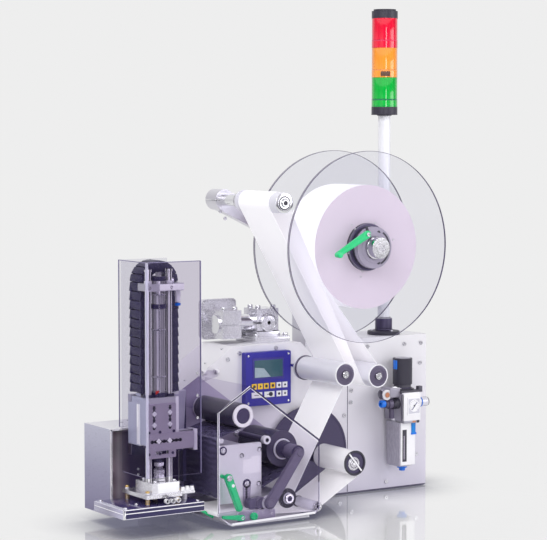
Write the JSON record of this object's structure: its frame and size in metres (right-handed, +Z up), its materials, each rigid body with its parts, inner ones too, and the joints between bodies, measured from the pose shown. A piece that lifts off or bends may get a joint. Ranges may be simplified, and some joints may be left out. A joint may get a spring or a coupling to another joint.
{
  "type": "label printer applicator",
  "caption": "Label printer and tamp applicator: cabinet with print module, clear reel above, tall covered air tamp at the left, regulator and signal tower at the right.",
  "frame": {"origin": "middle of the four mounting holes under the cabinet, at the level of its underside", "axes": "+X to the right along the cabinet front, +Y into the machine away from the operator, +Z up"},
  "size_m": [0.6685, 0.279, 0.8111],
  "materials": {
    "housing_paint": "satin light grey powder coat",
    "panel_paint": "satin light grey powder coat",
    "screw_steel": "machined steel",
    "panel_blue": "matt blue-violet moulding",
    "display": "grey-teal display glass",
    "key_film": "yellow and white membrane keys",
    "pole_white": "white coated tube",
    "black_plastic": "dark moulding",
    "green_lens": "green translucent lens",
    "amber_lens": "amber translucent lens",
    "red_lens": "red translucent lens",
    "cast_alu": "bright cast and machined aluminium",
    "turned_steel": "turned steel",
    "support_alu": "anodised aluminium",
    "clear_violet": "clear acrylic with a violet tint",
    "hub_grey": "grey-purple moulding",
    "label_paper": "white label stock, pale lilac at the edges",
    "roller_alu": "turned aluminium with dark end flanges",
    "green_paint": "bright green lever paint",
    "rewind_violet": "dark violet anodised",
    "liner_paper": "glossy white liner",
    "head_grey": "light grey plate",
    "base_grey": "light grey plate",
    "core_white": "white card core",
    "ribbon_black": "black thermal ribbon",
    "arm_grey": "dark purple-grey coated arm",
    "hood_tint": "tinted clear polycarbonate",
    "reg_black": "dark moulding",
    "bowl_grey": "grey translucent bowl with a black window",
    "fitting_metal": "nickel plated fittings",
    "needle_black": "black pointer",
    "drain_blue": "blue moulding",
    "tamp_alu": "anodised aluminium",
    "stainless": "brushed stainless sheet",
    "cover_tint": "clear tinted cover",
    "pad_lilac": "anodised pad with a dark front strip",
    "spring_brass": "yellow plated spring",
    "chain_navy": "navy-black nylon links"
  },
  "bodies": {
    "machine": {"print_housing": "housing_paint", "print_front_panel": "panel_paint", "unwinder_housing": "housing_paint", "unwinder_front_panel": "panel_paint", "screws": "screw_steel", "operator_panel": "panel_blue", "display_window": "display", "keypad": "key_film", "tower_pole": "pole_white", "tower_caps": "black_plastic", "tier_green": "green_lens", "tier_amber": "amber_lens", "tier_red": "red_lens", "mount_flange": "cast_alu", "clamp_blocks": "cast_alu", "clamp_tubes": "cast_alu", "reel_support": "support_alu", "axles": "turned_steel", "label_web": "label_paper", "print_head": "head_grey", "print_base": "base_grey", "ribbon_film": "ribbon_black", "regulator_body": "reg_black", "regulator_bowl": "bowl_grey", "regulator_fittings": "fitting_metal", "tamp_bracket": "tamp_alu", "tamp_body": "tamp_alu", "slot_plate": "tamp_alu", "barrel": "turned_steel", "shield_box": "stainless", "tamp_cover": "cover_tint"},
    "reel": {"reel_discs": "clear_violet", "reel_hub": "hub_grey", "label_roll": "label_paper"},
    "lock": {"reel_lock_lever": "green_paint"},
    "upper_roll": {"upper_roller": "roller_alu"},
    "infeed_roll": {"infeed_roller": "roller_alu"},
    "dancer_roll": {"dancer_roller": "roller_alu"},
    "web_roll": {"web_guide_roller": "roller_alu"},
    "liner_roll_guide": {"liner_guide_roller": "black_plastic"},
    "rewind": {"rewinder": "rewind_violet", "liner_roll": "liner_paper"},
    "takeup": {"takeup_core": "core_white", "takeup_ribbon": "ribbon_black"},
    "supply": {"supply_core": "core_white", "supply_ribbon": "ribbon_black"},
    "arm": {"ribbon_arm": "arm_grey"},
    "head_latch": {"head_lever": "green_paint"},
    "base_latch": {"latch_lever": "green_paint"},
    "knob": {"adjust_knob": "green_paint"},
    "hood_body": {"hood": "hood_tint"},
    "reg_knob": {"regulator_knob": "reg_black"},
    "needle": {"gauge_needle": "needle_black"},
    "drain": {"drain_cock": "drain_blue"},
    "tamp": {"guide_rods": "turned_steel", "tamp_yoke": "tamp_alu", "tamp_foot": "tamp_alu"},
    "chain": {"energy_chain": "chain_navy"},
    "pad": {"tamp_pad": "pad_lilac", "pad_springs": "spring_brass"}
  },
  "joints": [
    {"name": "reel_spin", "type": "hinge", "parent": "machine", "child": "reel", "pos_m": [-0.0635, -0.146, 0.4228], "axis": [0, 1, 0], "continuous": true},
    {"name": "reel_lock", "type": "hinge", "parent": "reel", "child": "lock", "pos_m": [-0.081, -0.213, 0.4443], "axis": [0, -1, 0], "range_deg": [0, 35]},
    {"name": "upper_roller_spin", "type": "hinge", "parent": "machine", "child": "upper_roll", "pos_m": [-0.231, -0.148, 0.4963], "axis": [0, 1, 0], "continuous": true},
    {"name": "infeed_roller_spin", "type": "hinge", "parent": "machine", "child": "infeed_roll", "pos_m": [-0.117, -0.148, 0.2243], "axis": [0, 1, 0], "continuous": true},
    {"name": "dancer_roller_spin", "type": "hinge", "parent": "machine", "child": "dancer_roll", "pos_m": [-0.053, -0.148, 0.218], "axis": [0, 1, 0], "continuous": true},
    {"name": "web_guide_spin", "type": "hinge", "parent": "machine", "child": "web_roll", "pos_m": [-0.215, -0.128, 0.0355], "axis": [0, 1, 0], "continuous": true},
    {"name": "liner_guide_spin", "type": "hinge", "parent": "machine", "child": "liner_roll_guide", "pos_m": [-0.163, -0.128, 0.018], "axis": [0, 1, 0], "continuous": true},
    {"name": "rewinder_spin", "type": "hinge", "parent": "machine", "child": "rewind", "pos_m": [-0.085, -0.108, 0.0785], "axis": [0, 1, 0], "continuous": true},
    {"name": "ribbon_takeup_spin", "type": "hinge", "parent": "machine", "child": "takeup", "pos_m": [-0.286, -0.108, 0.168], "axis": [0, 1, 0], "continuous": true},
    {"name": "ribbon_supply_spin", "type": "hinge", "parent": "machine", "child": "supply", "pos_m": [-0.196, -0.108, 0.1055], "axis": [0, 1, 0], "continuous": true},
    {"name": "ribbon_arm_swing", "type": "hinge", "parent": "machine", "child": "arm", "pos_m": [-0.25, -0.198, 0.0317], "axis": [0, -1, 0], "range_deg": [0, 50]},
    {"name": "head_lever_turn", "type": "hinge", "parent": "machine", "child": "head_latch", "pos_m": [-0.3255, -0.198, 0.078], "axis": [0, -1, 0], "range_deg": [0, 60]},
    {"name": "latch_lever_turn", "type": "hinge", "parent": "machine", "child": "base_latch", "pos_m": [-0.301, -0.198, 0.014], "axis": [0, 1, 0], "range_deg": [0, 15]},
    {"name": "adjust_knob_turn", "type": "hinge", "parent": "machine", "child": "knob", "pos_m": [-0.279, -0.198, 0.014], "axis": [0, 1, 0], "continuous": true},
    {"name": "hood_open", "type": "hinge", "parent": "machine", "child": "hood_body", "pos_m": [-0.27, -0.053, 0.222], "axis": [-1, 0, 0], "range_deg": [0, 55]},
    {"name": "regulator_knob_turn", "type": "hinge", "parent": "machine", "child": "reg_knob", "pos_m": [0.094, -0.075, 0.2], "axis": [0, 0, 1], "continuous": true},
    {"name": "gauge_needle_turn", "type": "hinge", "parent": "machine", "child": "needle", "pos_m": [0.097, -0.101, 0.1455], "axis": [0, 1, 0], "range_deg": [0, 250]},
    {"name": "drain_turn", "type": "hinge", "parent": "machine", "child": "drain", "pos_m": [0.094, -0.075, 0.04], "axis": [0, 0, 1], "range_deg": [-90, 0]},
    {"name": "tamp_stroke", "type": "slide", "parent": "machine", "child": "tamp", "axis": [0, 0, -1], "range_m": [0, 0.15]},
    {"name": "chain_loop", "type": "slide", "parent": "machine", "child": "chain", "axis": [0, 0, -1], "range_m": [0, 0.075], "deforming": ["energy_chain"]},
    {"name": "pad_float", "type": "slide", "parent": "tamp", "child": "pad", "axis": [0, 0, 1], "range_m": [0, 0.004], "stiffness_N_per_m": 4000, "springref_m": -0.002, "deforming": ["pad_springs"]}
  ],
  "couplings": [
    {"joint": "upper_roller_spin", "follows": "reel_spin", "ratio": 6.1562},
    {"joint": "infeed_roller_spin", "follows": "reel_spin", "ratio": -5.3243},
    {"joint": "dancer_roller_spin", "follows": "reel_spin", "ratio": -5.3243},
    {"joint": "web_guide_spin", "follows": "reel_spin", "ratio": -10.944},
    {"joint": "liner_guide_spin", "follows": "reel_spin", "ratio": 12.312},
    {"joint": "rewinder_spin", "follows": "reel_spin", "ratio": 4.8049},
    {"joint": "ribbon_supply_spin", "follows": "ribbon_takeup_spin", "ratio": -0.6909},
    {"joint": "chain_loop", "follows": "tamp_stroke", "ratio": 0.5}
  ]
}
